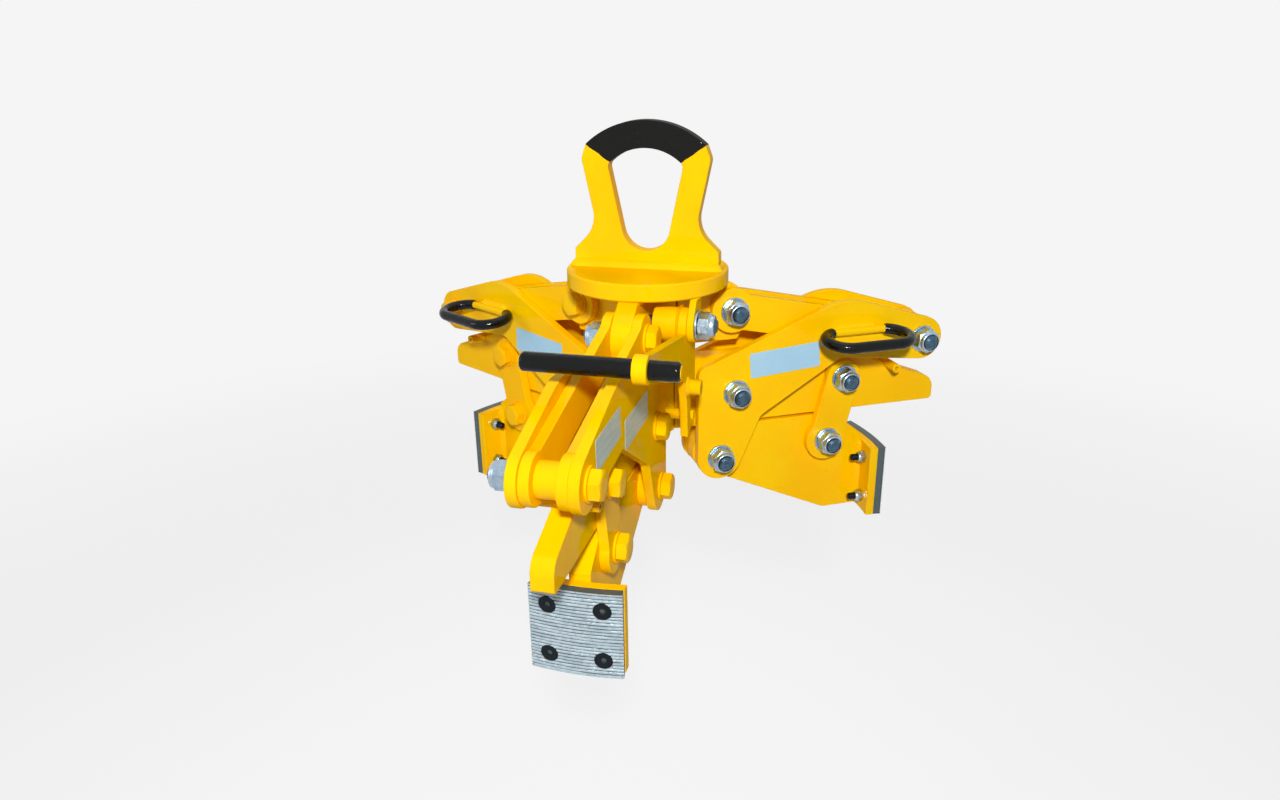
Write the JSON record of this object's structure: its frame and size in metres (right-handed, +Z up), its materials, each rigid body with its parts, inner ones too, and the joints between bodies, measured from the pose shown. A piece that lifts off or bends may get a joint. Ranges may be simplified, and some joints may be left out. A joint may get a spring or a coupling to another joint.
{
  "type": "internal lifting gripper",
  "caption": "Hoist gripper with serrated pads on bell-crank arms round a hub, which spread inside a ring or drum when its eye is pulled; a hand latch holds the pads in.",
  "frame": {"origin": "The point under the lifting eye's crown where the crane hook bears, on the tool's vertical axis.", "axes": "+Z up along the tool's axis; the front arm points along -Y, and the eye plate lies in the XZ plane."},
  "size_m": [0.7558, 0.6771, 0.559],
  "materials": {
    "yellow_paint": "gloss",
    "zinc_steel": "zinc plated",
    "lining_steel": "serrated",
    "dark_steel": "blackened",
    "hose_rubber": "smooth"
  },
  "bodies": {
    "suspension": {"lifting_eye": "yellow_paint", "suspension_disc": "yellow_paint", "centre_boss": "yellow_paint", "top_lugs": "yellow_paint", "top_pivot_bolts": "yellow_paint", "top_pivot_nuts": "zinc_steel", "latch_ear": "yellow_paint", "latch_stud": "yellow_paint", "latch_stud_nut": "zinc_steel"},
    "hub": {"hub_core": "yellow_paint", "front_tongue": "yellow_paint", "right_tongue": "yellow_paint", "left_tongue": "yellow_paint", "stop_pins": "yellow_paint", "hub_bolts": "yellow_paint", "hub_nuts": "zinc_steel", "latch_catch": "yellow_paint"},
    "front_lever": {"front_lever_plates": "yellow_paint", "front_lever_bosses": "yellow_paint", "front_tip_spacer": "yellow_paint", "front_lever_bolts": "yellow_paint"},
    "front_top_link": {"front_top_links": "yellow_paint"},
    "front_hanger": {"front_hanger_links": "yellow_paint"},
    "front_shoe": {"front_shoe_arm": "yellow_paint", "front_pad_plate": "yellow_paint", "front_pad_lining": "lining_steel", "front_pad_screws": "dark_steel", "front_shoe_bolt": "yellow_paint"},
    "right_lever": {"right_lever_plates": "yellow_paint", "right_lever_bosses": "yellow_paint", "right_tip_spacer": "yellow_paint", "right_lever_bolts": "yellow_paint", "right_handle_loop": "yellow_paint", "right_handle_hose": "hose_rubber"},
    "right_top_link": {"right_top_links": "yellow_paint"},
    "right_hanger": {"right_hanger_links": "yellow_paint"},
    "right_shoe": {"right_shoe_arm": "yellow_paint", "right_pad_plate": "yellow_paint", "right_pad_lining": "lining_steel", "right_pad_screws": "dark_steel", "right_shoe_bolt": "yellow_paint"},
    "left_lever": {"left_lever_plates": "yellow_paint", "left_lever_bosses": "yellow_paint", "left_tip_spacer": "yellow_paint", "left_lever_bolts": "yellow_paint", "left_handle_loop": "yellow_paint", "left_handle_hose": "hose_rubber"},
    "left_top_link": {"left_top_links": "yellow_paint"},
    "left_hanger": {"left_hanger_links": "yellow_paint"},
    "left_shoe": {"left_shoe_arm": "yellow_paint", "left_pad_plate": "yellow_paint", "left_pad_lining": "lining_steel", "left_pad_screws": "dark_steel", "left_shoe_bolt": "yellow_paint"},
    "latch": {"latch_plate": "yellow_paint", "latch_sleeve": "yellow_paint", "latch_ring": "yellow_paint", "latch_grip_rod": "yellow_paint", "latch_grips": "hose_rubber", "latch_knob": "yellow_paint"}
  },
  "joints": [
    {"name": "hub_slide", "type": "slide", "parent": "suspension", "child": "hub", "axis": [0, 0, 1], "range_m": [0, 0.01769]},
    {"name": "front_lever_pivot", "type": "hinge", "parent": "hub", "child": "front_lever", "pos_m": [0, -0.111, -0.3195], "axis": [-1, 0, 0], "range_deg": [-2.01, 0]},
    {"name": "front_hanger_pivot", "type": "hinge", "parent": "hub", "child": "front_hanger", "pos_m": [0, -0.2755, -0.3195], "axis": [-1, 0, 0], "range_deg": [-2.01, 0]},
    {"name": "front_shoe_pivot", "type": "hinge", "parent": "front_lever", "child": "front_shoe", "pos_m": [0, -0.09, -0.4105], "axis": [-1, 0, 0], "range_deg": [0, 2.01]},
    {"name": "front_top_link_pivot", "type": "hinge", "parent": "suspension", "child": "front_top_link", "pos_m": [0, -0.11, -0.2095], "axis": [-1, 0, 0], "range_deg": [0, 1.69]},
    {"name": "right_lever_pivot", "type": "hinge", "parent": "hub", "child": "right_lever", "pos_m": [0.09613, 0.0555, -0.3195], "axis": [0.5, -0.866, 0], "range_deg": [-2.01, 0]},
    {"name": "right_hanger_pivot", "type": "hinge", "parent": "hub", "child": "right_hanger", "pos_m": [0.23859, 0.13775, -0.3195], "axis": [0.5, -0.866, 0], "range_deg": [-2.01, 0]},
    {"name": "right_shoe_pivot", "type": "hinge", "parent": "right_lever", "child": "right_shoe", "pos_m": [0.07794, 0.045, -0.4105], "axis": [0.5, -0.866, 0], "range_deg": [0, 2.01]},
    {"name": "right_top_link_pivot", "type": "hinge", "parent": "suspension", "child": "right_top_link", "pos_m": [0.09526, 0.055, -0.2095], "axis": [0.5, -0.866, 0], "range_deg": [0, 1.69]},
    {"name": "left_lever_pivot", "type": "hinge", "parent": "hub", "child": "left_lever", "pos_m": [-0.09613, 0.0555, -0.3195], "axis": [0.5, 0.866, 0], "range_deg": [-2.01, 0]},
    {"name": "left_hanger_pivot", "type": "hinge", "parent": "hub", "child": "left_hanger", "pos_m": [-0.23859, 0.13775, -0.3195], "axis": [0.5, 0.866, 0], "range_deg": [-2.01, 0]},
    {"name": "left_shoe_pivot", "type": "hinge", "parent": "left_lever", "child": "left_shoe", "pos_m": [-0.07794, 0.045, -0.4105], "axis": [0.5, 0.866, 0], "range_deg": [0, 2.01]},
    {"name": "left_top_link_pivot", "type": "hinge", "parent": "suspension", "child": "left_top_link", "pos_m": [-0.09526, 0.055, -0.2095], "axis": [0.5, 0.866, 0], "range_deg": [0, 1.69]},
    {"name": "latch_pivot", "type": "hinge", "parent": "suspension", "child": "latch", "pos_m": [0, -0.069, -0.201], "axis": [-1, 0, 0], "range_deg": [0, 25]}
  ],
  "couplings": [
    {"joint": "front_lever_pivot", "follows": "hub_slide", "rad_per_m": -1.9733},
    {"joint": "front_hanger_pivot", "follows": "hub_slide", "rad_per_m": -1.9733},
    {"joint": "front_shoe_pivot", "follows": "hub_slide", "rad_per_m": 1.9733},
    {"joint": "front_top_link_pivot", "follows": "hub_slide", "rad_per_m": 1.6592},
    {"joint": "right_lever_pivot", "follows": "hub_slide", "rad_per_m": -1.9733},
    {"joint": "right_hanger_pivot", "follows": "hub_slide", "rad_per_m": -1.9733},
    {"joint": "right_shoe_pivot", "follows": "hub_slide", "rad_per_m": 1.9733},
    {"joint": "right_top_link_pivot", "follows": "hub_slide", "rad_per_m": 1.6592},
    {"joint": "left_lever_pivot", "follows": "hub_slide", "rad_per_m": -1.9733},
    {"joint": "left_hanger_pivot", "follows": "hub_slide", "rad_per_m": -1.9733},
    {"joint": "left_shoe_pivot", "follows": "hub_slide", "rad_per_m": 1.9733},
    {"joint": "left_top_link_pivot", "follows": "hub_slide", "rad_per_m": 1.6592}
  ]
}
